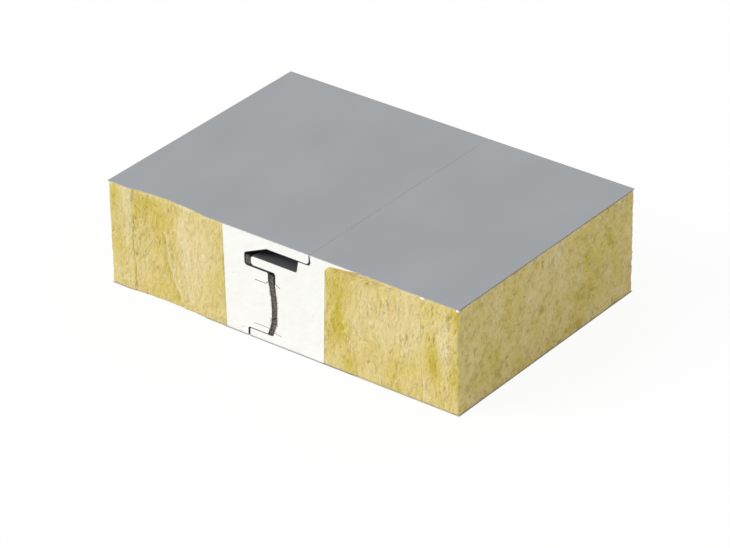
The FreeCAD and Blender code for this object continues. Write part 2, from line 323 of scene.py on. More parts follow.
def wool_material():
    """Mineral wool: the resin attribute runs from pale fibre to deep yellow binder; the shade attribute
    darkens it to brown for specks and pits, and as painted shade.
    """
    material, tree, shader = new_material("mineral_wool", 0.95, Specular_IOR_Level=0.1,
                                          Sheen_Weight=0.05, Sheen_Roughness=0.6)
    streaks = noise_node(tree, place(tree, (620, 620, 110), rotation=(0, 0.2, 0)), detail=3.5,
                         distortion=0.35)
    blotches = noise_node(tree, place(tree, (260, 210, 230)), detail=4.0, distortion=0.5)
    texture = maths(tree, "MAXIMUM", streaks,
                    maths(tree, "MULTIPLY", blotches, attribute(tree, "blotch")))
    resin = maths(tree, "ADD", attribute(tree, "resin"),
                  limits(tree, texture, *NOISE_SPAN, to_low=0.06, to_high=-0.06))
    base = ramp(tree, resin, [(0.0, WOOL_PALE), (0.45, WOOL_MID), (0.78, WOOL_YELLOW),
                              (1.0, WOOL_DEEP)])
    pits = noise_node(tree, place(tree, (420, 420, 190), location=(3, 5, 7)), detail=2.0)
    pits_and_shade = maths(tree, "MAXIMUM", limits(tree, pits, 0.66, 0.8, 0.0, 0.16),
                   attribute(tree, "shade"))
    base = blend_colour(tree, pits_and_shade, base, linear(WOOL_PIT_AND_SHADE))
    fine = noise_node(tree, place(tree, (1200, 1200, 400), rotation=(0, 0.25, 0)))
    light = limits(tree, fine, *NOISE_SPAN, to_low=0.9, to_high=1.06)
    grey = tree.nodes.new("ShaderNodeCombineColor")
    for channel in grey.inputs:
        tree.links.new(light, channel)
    colour_by(tree, shader, blend_colour(tree, 1.0, base, grey.outputs[0], "MULTIPLY"))
    bump(tree, shader, maths(tree, "ADD", streaks, fine), 0.00035)
    return material


def seal_material():
    """Soft open-cell seal, mottled dark grey-brown, with painted shade along its rim."""
    material, tree, shader = new_material("seal_foam", 0.9, Specular_IOR_Level=0.15)
    mottle = noise_node(tree, place(tree, 750), detail=4.0)
    mottled = ramp(tree, mottle, [(0.36, SEAL_DARK), (0.62, SEAL_LIGHT)])
    colour_by(tree, shader, blend_colour(tree, attribute(tree, "shade"), mottled, linear(SEAL_RIM_SHADE)))
    bump(tree, shader, mottle, 0.0004)
    return material


# ---- steel facings --------------------------------------------------------------------
# beyond these depths the faces get the dark coat of primer and painted shade
INNER_PAINTED_MM = 1.4    # how far the bright paint goes round the edges; it is dull beyond
OUTER_PAINTED_MM = 6.0
# the rounded bends at the top of the joint get the painted highlight
BEND_MM = 0.9             # how deep the lighter bends of the outer face reach
BEND_TILT = (0.15, 0.98)  # sideways part of a bend's normals
SQUARE_ON = 0.9           # least part of a normal along an axis that a cut faces
END_TOLERANCE = 1e-5      # in metres
PAINTED, SAWN, FLANGE, SAWN_END, BENT_HIGHLIGHT = range(5)


def finish_of(polygon):
    """Which of a facing's finishes a polygon gets."""
    sideways, height = abs(polygon.normal.x), polygon.center.z
    from_end = min(abs(polygon.center.x - x * MM) for x in (LOW[0], HIGH[0]))
    # a bend at the joint gets the painted highlight
    if BEND_TILT[0] < sideways < BEND_TILT[1] and height > cad_box[1].z - BEND_MM * MM:
        return BENT_HIGHLIGHT
    if sideways > SQUARE_ON and from_end < END_TOLERANCE:
        return SAWN_END
    if abs(polygon.normal.y) > SQUARE_ON:
        return SAWN
    # faces between get the dark coat of primer and painted shade
    if cad_box[0].z + INNER_PAINTED_MM * MM < height < cad_box[1].z - OUTER_PAINTED_MM * MM:
        return FLANGE
    return PAINTED


def finish_facing(node, *finishes):
    """Finishes a facing of the frame, with finishes in the order of their numbers."""
    mesh = NODES[node].data
    mesh.materials.clear()
    for material in finishes:
        mesh.materials.append(material)
    for polygon in mesh.polygons:
        polygon.material_index = finish_of(polygon)


# ---- mineral wool ---------------------------------------------------------------------
# Where the sample's saw cuts differ from even wool. Places are in mm: x from the left cut
# end, y from the front, z from the underside; sizes are half widths and half heights. The
# last number of a patch is how much more resin there is (or less, for pale fibre).
RESIN_PATCHES = [
    (8, 90, 8, 12, 0.45), (12, 38, 7, 6, 0.3), (29, 66, 3, 30, 0.3), (46, 85, 17, 12, 0.3),
    (45, 58, 14, 22, 0.15), (62, 52, 6, 22, 0.35), (50, 24, 8, 15, 0.3), (70, 9, 14, 8, 0.35),
    (19, 88, 5, 12, -0.5), (20.5, 45, 4, 42, -0.45), (7, 14, 7, 13, -0.3),
    (80, 75, 6, 26, -0.35), (96, 50, 20, 30, -0.35), (84, 14, 4, 14, -0.35),
    (116, 40, 6, 40, 0.15), (248, 56, 6, 18, 0.7), (251, 38, 8, 12, 0.5),
    (242, 82, 12, 18, 0.5), (256, 11, 7, 8, 0.45), (240, 30, 5, 30, 0.3),
    (262, 70, 5, 14, 0.2), (301, 22, 10, 12, 0.25), (281, 30, 8, 14, 0.3),
    (275, 92, 15, 8, 0.25), (264, 42, 6, 20, -0.25), (290, 48, 14, 30, -0.15),
    (320, 60, 12, 40, -0.15), (343, 46, 6, 18, 0.8), (338, 91, 10, 8, 0.35),
    (366, 91, 4, 9, 0.7), (364, 40, 5, 16, 0.45), (355, 60, 5, 26, -0.5)]
PITS = [(64.5, 89, 1.5), (27.5, 72, 1.8), (28, 61, 1.5), (28.5, 37, 1.2), (27, 5, 1.4),
        (50, 30, 1.3), (68, 70, 1.0), (10, 79, 0.9), (262, 98, 1.4), (277, 93, 1.2),
        (333, 72, 1.3), (292, 64, 1.1), (277, 19, 1.3), (340, 43, 1.2), (256, 12, 1.0),
        (105, 93, 0.9), (112, 62, 0.9)]
SIDE_PATCHES = [(14, 55, 11, 40, -0.35), (42, 84, 12, 12, -0.25), (132, 84, 16, 12, -0.55),
                (112, 66, 9, 14, -0.3), (85, 74, 16, 20, 0.3), (196, 70, 26, 22, 0.35),
                (60, 30, 24, 18, 0.2), (165, 40, 30, 16, 0.2), (240, 80, 7, 20, 0.25),
                (28, 22, 12, 10, 0.3)]
SIDE_PITS = [(97, 82, 1.8), (116, 44, 2.6), (25, 27, 1.3), (32, 25, 1.1), (54, 14, 1.6),
             (96, 35, 1.3), (185, 57, 1.3), (190, 30, 1.8), (232, 96, 1.3), (174, 38, 1.4)]
FOLDS = [([(56, 70), (62, 63), (63, 45), (69, 26), (77, 14), (80, 4)], 1.0),
         ([(81, 62), (79, 44), (84, 26), (90, 6)], 0.45)]  # line from its top, strength
STRIP_JOINTS = ((26.1, 0.55), (331.5, -0.2))  # from the left cut end, with how open each is

PATCH_CONTRAST = 0.7      # of the patches on the front cut
SIDE_PATCH_CONTRAST = 0.42  # and on the right-hand cut
PATCH_SHARPNESS = 0.8     # below 1, a patch fades out beyond its half width
PIT_MM = 0.9              # depth of a pit
FOLD_WIDTH = 2.0
FOLD_MM = 1.3             # height of a fold, and depth of the furrow beside it
FURROW_MM = 0.6
WANDER_MM = 1.1           # how far a strip joint strays from a straight line
CREASE_WIDTH = 1.1        # of the open part of a strip joint
PRESSED_WIDTH = 3.0       # of the flat wool along a closed one

FRONT, RIGHT, BACK, LEFT = range(4)
END_NEAR_MM = 5.0         # a side this near to the sample's end is one of its cuts
JOINT_NEAR_MM = 3.0       # a corner this near to a strip joint lies on it
JOINT_FADE_MM = 5.0
OPEN_CORNER_MM = 2.0      # rounding of the sample's own wool corners
CLOSED_CORNER_MM = 0.12   # rounding beside a neighbour
HALF_TURN = math.pi / 4   # each side of a corner takes half of its turn
COLUMN_MM = 0.7           # mesh columns on an open side
ROW_MM = 1.2
HIDDEN_COLUMN_MM = 12.0
PROUD_MM = 0.9            # wool's mean surface, beyond the frame's plain block
FIBRE_LEAN = 0.22         # fibres lean over by this share of their height
COMBED = {"groove_panel": 1.0, "tongue_panel": 1.35}  # strength of the upright streaks
BOW_FADE_MM = 40.0        # depth over which the bowed cut dies away inside
FOOT_BULGE = 0.6          # share of the bow that loose wool fills at the foot of the cut
FOOT_HEIGHT_MM = 55.0
HELD_BESIDE_FOAM = 0.3    # share of its relief that wool keeps right beside foam
HELD_WIDTH_MM = 1.2       # its relief is whole from here on

# Patterns of the wool: size of a cell in mm (x, y, z), layers and seed.
PATTERNS = {
    "warp": ((14, 14, 22), 1, 50),
    "broad": ((34, 34, 34), 1, 0),
    "streaks": ((4.2, 4.2, 22), 3, 10),
    "lumps": ((6, 6, 7), 3, 20),
    "grains": ((2.4, 2.4, 2.4), 2, 25),
    "valleys": ((5.5, 5.5, 24), 1, 15),
    "valley_ends": ((11, 11, 13), 1, 16),
    "tufts": ((2.6, 2.6, 8), 1, 17),
    "resin": ((15, 15, 30), 3, 30),
    "resin_streaks": ((4, 4, 19), 2, 40),
    "end_resin": ((9, 9, 8), 3, 60),
    "spots": ((7, 4.5, 7.5), 3, 70),
    "specks": ((2.6, 2.2, 2.4), 2, 75),
    "openness": ((40, 40, 13), 1, 78),
    "pale_top": ((7, 7, 7), 1, 81),
    "pale_foot": ((9, 9, 9), 1, 82),
    "fold_wander": ((8, 8, 8), 1, 83),
}
JOINT_WANDER = (25, 12, 77)  # size of a cell in mm (y, z), and seed
WARP_MM = 3.5
BROAD_MM = 0.6
STREAK_MM = 0.55
LUMP_MM = 0.2
GRAIN_MM = 0.26
TUFT_MM = 0.7
VALLEY_MM = 0.8
# on the end cuts, hollows get painted shade and bumps a paler painted highlight
DEEP_MM = 0.3             # a hollow or bump of this size is fully shaded or fully pale


def pattern(name, points, strip_seed=0):
    """One of the wool's patterns, at points in mm."""
    size, layers, seed = PATTERNS[name]
    return layered_noise(points / size, strip_seed + seed, layers)


def joint_wander(points):
    """How far a joint between strips wanders sideways, the same on both strips."""
    size_y, size_z, seed = JOINT_WANDER
    places = np.stack([0 * points[:, 0], points[:, 1] / size_y, points[:, 2] / size_z], axis=1)
    return noise(places, seed) * WANDER_MM


def by_cut(end_on, front, end):
    """A weight for the front and back cuts that changes to another on the end cuts."""
    return front + (end - front) * end_on


class WoolStrip:
    """One strip of mineral wool, as a surface over (side, place along it, height)."""

    def __init__(self, node, number):
        low, high = (np.array(corner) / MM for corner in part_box(node))
        self.node, self.seed = node, 100 * number
        self.combed = next(COMBED[panel] for panel in PANELS if node.startswith(panel))
        self.low, self.high = low, high
        self.open_sides = [True, high[0] > HIGH[0] - END_NEAR_MM,
                           True, low[0] < LOW[0] + END_NEAR_MM]
        self.corners = np.array([(low[0], low[1]), (high[0], low[1]),
                                 (high[0], high[1]), (low[0], high[1])])
        self.lengths = [high[0] - low[0], high[1] - low[1]] * 2
        self.tangents = np.array([(1, 0), (0, 1), (-1, 0), (0, -1)], float)
        self.normals = np.array([(0, -1), (1, 0), (0, 1), (-1, 0)], float)
        free_corners = [self.open_sides[k] and self.open_sides[k - 1] for k in range(4)]
        self.radii = [OPEN_CORNER_MM if free else CLOSED_CORNER_MM for free in free_corners]
        self.full_corners = [free or self.on_joint(x) for free, (x, _) in zip(free_corners, self.corners)]
        self.edges = [self.profile(-1), self.profile(1)]
        self.front_line = self.saw_line()

    @staticmethod
    def on_joint(x):
        return any(abs(x - LOW[0] - joint) < JOINT_NEAR_MM for joint, _ in STRIP_JOINTS)

    def frame_points(self):
        return np.array([v.co for v in NODES[self.node].data.vertices]) / MM

    def profile(self, side):
        """The block's low-x or high-x outline in the frame: heights and the x at each."""
        points = self.frame_points()
        middle = (self.low[0] + self.high[0]) / 2
        heights = np.unique(points[(points[:, 0] - middle) * side > 0][:, 2].round(3))
        levels = [points[np.abs(points[:, 2] - z) < 0.01] for z in heights]
        return heights, [max(level[:, 0] * side) * side for level in levels]

    def saw_line(self):
        """How far the front saw cut runs in, at each x: the cut is not quite straight."""
        points = self.frame_points()
        foot = points[(points[:, 2] < self.low[2] + 0.1) & (points[:, 1] < 0)]
        foot = foot[np.argsort(foot[:, 0])]
        return foot[:, 0], foot[:, 1] - self.low[1]

    def plain(self, side, along, z):
        """Points and normals of the undisturbed block, with its corners rounded."""
        length = np.take(self.lengths, side)
        start = np.take(self.radii, side)
        end = np.take(self.radii, (side + 1) % 4)
        from_end = length - along
        turn = np.where(along < start, 1 - along / start, 0)
        turn = turn + np.where(from_end < end, 1 - from_end / end, 0)
        phi = turn * HALF_TURN
        radius = np.where(along < length / 2, start, end)
        sideways = np.where(along < start, start - start * np.sin(phi), along)
        sideways = np.where(from_end < end, length - end + end * np.sin(phi), sideways)
        inset = radius - radius * np.cos(phi)
        tangent = self.tangents[side]
        normal = self.normals[side]
        flat = self.corners[side] + tangent * sideways[:, None] - normal * inset[:, None]
        outward = np.where(along < length / 2, -1, 1) * np.sin(phi)
        leaning = normal * np.cos(phi)[:, None] + tangent * outward[:, None]
        left, right = (np.interp(z, *edge) for edge in self.edges)
        share = (flat[:, 0] - self.low[0]) / (self.high[0] - self.low[0])
        points = np.stack([left + share * (right - left), flat[:, 1], z], axis=1)
        points[:, 1] += self.bow(points)
        for joint, _ in STRIP_JOINTS:
            near = np.clip(1 - np.abs(points[:, 0] - LOW[0] - joint) / JOINT_FADE_MM, 0, 1)
            points[:, 0] += joint_wander(points) * near
        return points, np.concatenate([leaning, np.zeros((len(z), 1))], axis=1)

    def bow(self, points):
        """How far the bowed front cut sets points back; it dies away inside the strip."""
        depth = np.interp(points[:, 0], *self.front_line)
        depth *= 1 - FOOT_BULGE * (1 - rise(points[:, 2], 0, FOOT_HEIGHT_MM))
        return depth * np.clip(1 - (points[:, 1] - self.low[1]) / BOW_FADE_MM, 0, 1)

    def looseness(self, side, along):
        """How freely the surface may move: little beside foam, and not at all behind."""
        from_end = np.take(self.lengths, side) - along
        free = np.take(self.open_sides, side).astype(float)
        for corner, distance in ((side, along), ((side + 1) % 4, from_end)):
            held = HELD_BESIDE_FOAM + (1 - HELD_BESIDE_FOAM) * rise(distance, 0, HELD_WIDTH_MM)
            free *= np.where(np.take(self.full_corners, corner), 1, held)
        return free

    def surface(self, side, along, z):
        """Displaced points, normals, and the resin, shade and end_on of each."""
        points, normals = self.plain(side, along, z)
        end_on = smooth_step(np.abs(normals[:, 0]) * 1.3)
        sheared = points + np.stack([FIBRE_LEAN * z, -FIBRE_LEAN * z, 0 * z], axis=1)
        warp = pattern("warp", points, self.seed)[:, None] * [WARP_MM, WARP_MM, 0]
        height, resin, shade = self.texture(points, sheared + warp, end_on)
        height, resin, shade = front_marks(points, side == FRONT, height, resin, shade)
        height, resin, shade = side_marks(points, side == RIGHT, height, resin, shade)
        height, shade = joint_creases(points, np.isin(side, (FRONT, BACK)), height, shade)
        height = self.settle(z, end_on, height)
        moved = points + normals * ((height + PROUD_MM) * self.looseness(side, along))[:, None]
        return moved, normals, np.clip(resin, 0, 1), np.clip(shade, 0, 1), end_on

    def texture(self, points, warped, end_on):
        """Height, resin and shade of even wool; warped places follow the leaning fibres."""
        front_on = 1 - end_on
        z, seed = points[:, 2], self.seed
        streaks = pattern("streaks", warped, seed) * STREAK_MM
        lumps = pattern("lumps", points, seed) * LUMP_MM
        grains = pattern("grains", points, seed) * GRAIN_MM
        valleys = smooth_step(1 - np.abs(pattern("valleys", warped, seed)) / 0.13)
        valleys *= rise(pattern("valley_ends", points, seed), -0.125, 0.5) * by_cut(end_on, 1, 0.2)
        tufts = rise(pattern("tufts", warped, seed), 9 / 24, 19 / 24) * by_cut(end_on, 1, 0.4)
        combed = by_cut(end_on, self.combed, 1)

        height = BROAD_MM * pattern("broad", points, seed)
        height += streaks * combed * by_cut(end_on, 1, 0.25)
        height += lumps * by_cut(end_on, 0.35, 1.8) + grains * by_cut(end_on, 0.6, 1.4)
        height += (TUFT_MM * tufts - VALLEY_MM * valleys) * combed

        resin = 0.4 + 0.2 * pattern("resin", points, seed)
        resin += 0.08 * pattern("resin_streaks", warped, seed) * by_cut(end_on, 1, 0.4)
        resin += 0.1 * valleys - 0.15 * tufts
        resin -= 0.35 * (1 - rise(z, 0, 3)) * (pattern("pale_foot", points) > -0.3) * front_on
        resin -= 0.5 * rise(z - self.high[2], -2.2, -0.8) * (pattern("pale_top", points) > 0.05)
        resin += end_on * (0.04 + 0.12 * pattern("end_resin", points, seed))
        # painted highlight: bumps on the end cuts are paler
        resin -= end_on * 0.16 * rise(lumps + grains, 0, DEEP_MM)

        shade = 0.2 * rise(pattern("spots", points, seed), 0, 1.1)
        shade += 0.5 * rise(pattern("specks", points, seed), 0.45, 1.05)
        # painted shade in the hollows
        shade += 0.28 * rise(-(lumps + grains), 0, DEEP_MM)
        return height, resin, shade * end_on

    def settle(self, z, end_on, height):
        """Calms the relief and draws it back towards the facings."""
        from_top = self.high[2] - z
        edge = np.minimum(z - self.low[2], from_top)
        height = height * (0.5 + 0.5 * rise(edge, 0, 3)) - 0.8 * (1 - rise(edge, 0, 1.4))
        return height - 0.9 * end_on * (1 - rise(from_top, 0, 2.2))


def patch_resin(across, z, patches, contrast):
    """Resin that patches (place, height, half width, half height, amount) add."""
    resin = np.zeros(len(z))
    for place_at, level, width, tall, amount in patches:
        distance = ((across - place_at) / width) ** 2 + ((z - level) / tall) ** 2
        resin = resin + amount * contrast * mound(distance * PATCH_SHARPNESS)
    return resin


def front_marks(points, front, height, resin, shade):
    """Patches, pits and folds on the face towards the front."""
    x, z = points[:, 0] - LOW[0], points[:, 2]
    resin = resin + front * patch_resin(x, z, RESIN_PATCHES, PATCH_CONTRAST)
    for pit_x, pit_z, size in PITS:
        hole = front * mound(((x - pit_x) ** 2 + ((z - pit_z) / 1.3) ** 2) / size ** 2)
        height = height - PIT_MM * hole
        shade = np.maximum(shade, 0.7 * hole)
    for line, strength in FOLDS:
        line_x, line_z = np.array(line[::-1], float).T
        across = x - np.interp(z, line_z, line_x) + 1.8 * pattern("fold_wander", points)
        there = strength * front * rise(z, line_z[0], line_z[0] + 4) * rise(line_z[-1] - z, 0, 6)
        ridge = there * mound((across / FOLD_WIDTH) ** 2)
        furrow = there * mound(((across + 1.5 * FOLD_WIDTH) / FOLD_WIDTH) ** 2)
        height = height + FOLD_MM * ridge - FURROW_MM * furrow
        resin = resin - 0.6 * ridge
        # painted shade in the furrow beside each fold
        shade = np.maximum(shade, 0.3 * furrow)
    return height, resin, shade


def side_marks(points, right, height, resin, shade):
    """Patches and brown pits on the sample's right-hand cut."""
    y, z = points[:, 1] - LOW[1], points[:, 2]
    resin = resin + right * patch_resin(y, z, SIDE_PATCHES, SIDE_PATCH_CONTRAST)
    for pit_y, pit_z, size in SIDE_PITS:
        hole = right * mound((((y - pit_y) / 1.5) ** 2 + (z - pit_z) ** 2) / size ** 2)
        height = height - PIT_MM * hole
        shade = np.maximum(shade, 0.6 * hole)
    return height, resin, shade


def joint_creases(points, cut, height, shade):
    """The open joint between two strips, with painted shade in it, closed in places along its height."""
    for joint, share in STRIP_JOINTS:
        x = points[:, 0] - LOW[0] - joint - joint_wander(points)
        openness = smooth_step(share + 0.75 * pattern("openness", points))
        crease = cut * openness * mound((x / CREASE_WIDTH) ** 2)
        pressed = cut * mound((x / PRESSED_WIDTH) ** 2) * (share < 0)
        height = height * (1 - 0.8 * pressed) - 0.9 * crease
        # painted shade in the open crease
        shade = np.maximum(shade, 0.6 * crease)
    return height, shade


def ring_stations(strip):
    """Side numbers and places along them, once round the strip."""
    sides, places = [], []
    for side in range(4):
        step = COLUMN_MM if strip.open_sides[side] else HIDDEN_COLUMN_MM
        count = max(int(strip.lengths[side] / step), 3)
        sides += [side] * count
        places += [strip.lengths[side] * i / count for i in range(count)]
    return np.array(sides), np.array(places)


def wool_body(strip):
    """The strip's closed skin: rows of a ring, with flat ends under the facings."""
    sides, places = ring_stations(strip)
    columns = len(sides)
    rows = int((strip.high[2] - strip.low[2]) / ROW_MM) + 1
    heights = np.linspace(strip.low[2], strip.high[2], rows)
    points, _, *values = strip.surface(np.tile(sides, rows), np.tile(places, rows),
                                       np.repeat(heights, columns))
    faces = []
    for row, column in product(range(rows - 1), range(columns)):
        here, following = row * columns, (column + 1) % columns
        faces.append((here + column, here + following,
                      here + columns + following, here + columns + column))
    faces.append(tuple(range(columns))[::-1])
    faces.append(tuple((rows - 1) * columns + column for column in range(columns)))
    return points, np.stack(values, axis=1), faces


# Loose fibres and tufts: how many to the square mm, their lengths and half widths in mm,
# how far they stand off the surface, how their tint varies, and a seed.
StrandSet = namedtuple("StrandSet", "density lengths radii lift tint_spread seed")
STRAND_SETS = (StrandSet(0.02, (10, 30), (0.6, 1.1), -0.6, 0.14, 1),
               StrandSet(0.05, (6, 17), (0.2, 0.42), -0.1, 0.08, 2),
               StrandSet(0.06, (4, 11), (0.1, 0.2), 0.05, 0.07, 3),
               StrandSet(0.05, (4, 9), (0.05, 0.08), 0.4, 0.06, 4))
STRAND_SIDES = 3
STRAND_STATIONS = (-1, -0.5, 0, 0.5, 1)  # from one tip to the other
STRAND_FLATNESS = (1.9, 0.9)             # half width and half height, in radii
STRAND_MARGIN = 0.3                      # from a corner
TIP_MARGIN = 0.2                         # from a facing
END_ON_DENSITY, END_ON_LENGTH = 0.7, 0.45  # on the end cuts, against the front


def strands(strip, kind):
    """Closed spindles that lie on the strip's open sides, mostly upright."""
    rng = np.random.default_rng(strip.seed + kind.seed)
    foot, top = strip.low[2], strip.high[2]
    open_sides = [k for k in range(4) if strip.open_sides[k]]
    counts = [int(strip.lengths[k] * (top - foot) * kind.density
                  * (END_ON_DENSITY if k in (RIGHT, LEFT) else 1)) for k in open_sides]
    side = np.repeat(open_sides, counts)
    count = len(side)
    span = np.take(strip.lengths, side)
    along = rng.uniform(STRAND_MARGIN, span - STRAND_MARGIN)
    end_on = np.isin(side, (RIGHT, LEFT))
    length = rng.uniform(*kind.lengths, count) * np.where(end_on, END_ON_LENGTH, 1)
    angle = np.where(end_on, rng.uniform(-1.5, 1.5, count), rng.normal(0.2, 0.18, count))
    bend = rng.normal(0, 0.35, count) * np.minimum(1, 7 / length)
    z = rng.uniform(foot + 0.8, top - 0.8, count)
    room = 2 * np.minimum(z - foot, top - z) + 1.2
    length = np.minimum(length, room / np.abs(np.cos(angle)).clip(0.3))
    radius = rng.uniform(*kind.radii, count)
    tint = rng.normal(-0.04, kind.tint_spread, count)
    stand_off = rng.uniform(0.3, 1.0, count) * kind.lift
    curl = rng.uniform(-0.2, 1.0, count) * kind.lift
    mirrored = np.where(side == FRONT, 1, -1)
    rings, values = [], []
    for t in STRAND_STATIONS:
        tilt = angle + bend * t
        a = np.clip(along + mirrored * np.sin(tilt) * t * length / 2,
                    STRAND_MARGIN, span - STRAND_MARGIN)
        h = np.clip(z + np.cos(tilt) * t * length / 2, foot + TIP_MARGIN, top - TIP_MARGIN)
        centre, normal, resin, shade, blotch = strip.surface(side, a, h)
        centre = centre + normal * (stand_off + curl * (t * t))[:, None]
        rings.append(strand_ring(centre, normal, radius * (1 - t * t), abs(t) == 1))
        values.append(np.stack([resin + tint, shade * 0.4, blotch], axis=1))
    points = np.concatenate(rings, axis=1)
    spread = [np.repeat(v[:, None, :], ring.shape[1], axis=1) for v, ring in zip(values, rings)]
    return points.reshape(-1, 3), np.concatenate(spread, axis=1).reshape(-1, 3), strand_faces(count)


def strand_ring(centre, normal, reach, is_tip):
    """Points round each strand at one station: one at a tip, and else a flattened ring."""
    if is_tip:
        return centre[:, None, :]
    across = np.stack([-normal[:, 1], normal[:, 0], 0 * reach], axis=1)
    wide, high = STRAND_FLATNESS
    angles = [math.tau * k / STRAND_SIDES + math.pi / 2 for k in range(STRAND_SIDES)]
    return np.stack([centre + across * (reach * wide * math.cos(w))[:, None]
                     + normal * (reach * high * math.sin(w))[:, None] for w in angles], axis=1)


def strand_faces(count):
    """Faces of spindles with a point at each end and rings between."""
    ring_count = len(STRAND_STATIONS) - 2
    rings = [[1 + STRAND_SIDES * r + k for k in range(STRAND_SIDES)] for r in range(ring_count)]
    tip = 1 + STRAND_SIDES * ring_count
    one = []
    for k in range(STRAND_SIDES):
        n = (k + 1) % STRAND_SIDES
        one.append((0, rings[0][n], rings[0][k]))
        one.append((tip, rings[-1][k], rings[-1][n]))
        for near, far in zip(rings, rings[1:]):
            one.append((near[k], near[n], far[n], far[k]))
    return [tuple(v + strand * (tip + 1) for v in face) for strand in range(count) for face in one]


def mesh_piece(name, points, faces, values, material, keys=("shade", "grey_edging")):
    """A piece from points in mm, with the values of some attributes at its points."""
    mesh = bpy.data.meshes.new(name)
    mesh.from_pydata([tuple(p) for p in points * MM], [], faces)
    for index, key in enumerate(keys):
        data = mesh.attributes.new(key, "FLOAT", "POINT").data
        data.foreach_set("value", values[:, index].astype(np.float32))
    mesh.materials.append(material)
    piece = bpy.data.objects.new(name, mesh)
    bpy.context.scene.collection.objects.link(piece)
    return piece


def build_wool(node, number, material):
    strip = WoolStrip(node, number)
    blocks = [wool_body(strip)] + [strands(strip, kind) for kind in STRAND_SETS]
    faces, offset = [], 0
    for block_points, _, block_faces in blocks:
        faces += [tuple(v + offset for v in face) for face in block_faces]
        offset += len(block_points)
    points, values = (np.concatenate([block[k] for block in blocks]) for k in (0, 1))
    piece = mesh_piece(node.replace("wool_strip", "wool"), points, faces, values, material,
                       keys=("resin", "shade", "blotch"))
    piece.data.polygons.foreach_set("use_smooth", [True] * len(faces))
    piece.data.set_sharp_from_angle(angle=math.radians(84))
    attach(piece, "root")
    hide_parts(node)


# ---- foam edges and seals: prisms with relief on their saw cuts -------------------------
# A saw cut's mesh spacing and its relief: height and size of the bumps, all in mm.
Cut = namedtuple("Cut", "spacing bump_height bump_size")
FOAM_CUT = Cut(1.6, 0.16, 5)
SEAL_CUT = Cut(0.7, 0.5, 1.6)
CALM_RIM_MM = 1.2         # a cut's relief fades out over this, towards its outline
HOLE_DEPTH = 1.3          # of a blow hole, in its radii
SEAL_GREYING = 0.95          # how grey the foam is where it touches the edge seal
SEAL_GREYING_MM = 0.3
# painted shade: a grey line along the foam's foot, at the inner facing
FOOT_SHADE = 0.6           # and along the inner facing
FOOT_SHADE_MM = 0.05
TINY = 1e-12


def cut_outline(node):
    """The loop of (x, z) points round a prism's saw cut, in mm, in order."""
    shape = bmesh.new()
    shape.from_mesh(NODES[node].data)
    bmesh.ops.remove_doubles(shape, verts=shape.verts, dist=1e-6)
    front = min(v.co.y for v in shape.verts)
    links = {}
    for edge in shape.edges:
        if all(abs(v.co.y - front) < 1e-6 for v in edge.verts):
            if sum(abs(face.normal.y) > SQUARE_ON for face in edge.link_faces) == 1:
                a, b = edge.verts
                links.setdefault(a.index, []).append(b.index)
                links.setdefault(b.index, []).append(a.index)
    shape.verts.ensure_lookup_table()
    first = next(iter(links))
    order, last = [first], None
    while True:
        onward = [v for v in links[order[-1]] if v != last]
        last = order[-1]
        if onward[0] == first:
            break
        order.append(onward[0])
    outline = np.array([(shape.verts[i].co.x, shape.verts[i].co.z) for i in order]) / MM
    shape.free()
    return outline


def subdivided(outline, spacing):
    """The same loop, with points along its long stretches."""
    points = []
    for a, b in zip(outline, np.roll(outline, -1, axis=0)):
        count = max(int(np.linalg.norm(b - a) / spacing), 1)
        points += [a + (b - a) * k / count for k in range(count)]
    return np.array(points)


def inside(points, outline):
    """Which points lie inside a closed outline."""
    result = np.zeros(len(points), bool)
    for a, b in zip(outline, np.roll(outline, -1, axis=0)):
        crosses = (a[1] > points[:, 1]) != (b[1] > points[:, 1])
        slope = (b[0] - a[0]) / ((b[1] - a[1]) or TINY)
        result ^= crosses & (points[:, 0] < a[0] + slope * (points[:, 1] - a[1]))
    return result


def edge_distance(points, outline):
    """Distance from each point to the outline."""
    nearest = np.full(len(points), np.inf)
    for a, b in zip(outline, np.roll(outline, -1, axis=0)):
        run = b - a
        share = np.clip(((points - a) @ run) / max(run @ run, TINY), 0, 1)
        nearest = np.minimum(nearest, np.linalg.norm(points - a - share[:, None] * run, axis=1))
    return nearest


def fill_outline(outline, low, high, spacing, seed):
    """Points and triangles that fill an outline with an uneven grid."""
    rng = np.random.default_rng(seed)
    steps = [np.arange(low[k], high[k], spacing) for k in (0, 2)]
    grid = np.stack(np.meshgrid(*steps, indexing="ij"), axis=-1).reshape(-1, 2)
    grid = grid + rng.uniform(-0.3, 0.3, grid.shape) * spacing
    grid = grid[inside(grid, outline)]
    grid = grid[edge_distance(grid, outline) > spacing * 0.45]
    points = [Vector(p) for p in np.concatenate([outline, grid])]
    ring = [(i, (i + 1) % len(outline)) for i in range(len(outline))]
    points, _, triangles, _, _, _ = geometry.delaunay_2d_cdt(points, ring, [], 1, 1e-7)
    return np.array([tuple(p) for p in points]), triangles


def open_edges(triangles):
    """Edges that only one triangle uses, in that triangle's direction."""
    used = {(a, b) for t in triangles for a, b in zip(t, [*t[1:], t[0]])}
    return [(a, b) for a, b in used if (b, a) not in used]


def face_outward(mesh):
    shape = bmesh.new()
    shape.from_mesh(mesh)
    bmesh.ops.recalc_face_normals(shape, faces=shape.faces)
    shape.to_mesh(mesh)
    shape.free()


def grey_edging_of(flat, foot):
    """How grey a cut is at its points: beside the edge seal, and along its foot, where the grey is
    painted shade.
    """
    beside_seal = mound((edge_distance(flat, cut_outline("edge_seal")) / SEAL_GREYING_MM) ** 2)
    return np.maximum(SEAL_GREYING * beside_seal, FOOT_SHADE * (flat[:, 1] < foot + FOOT_SHADE_MM))


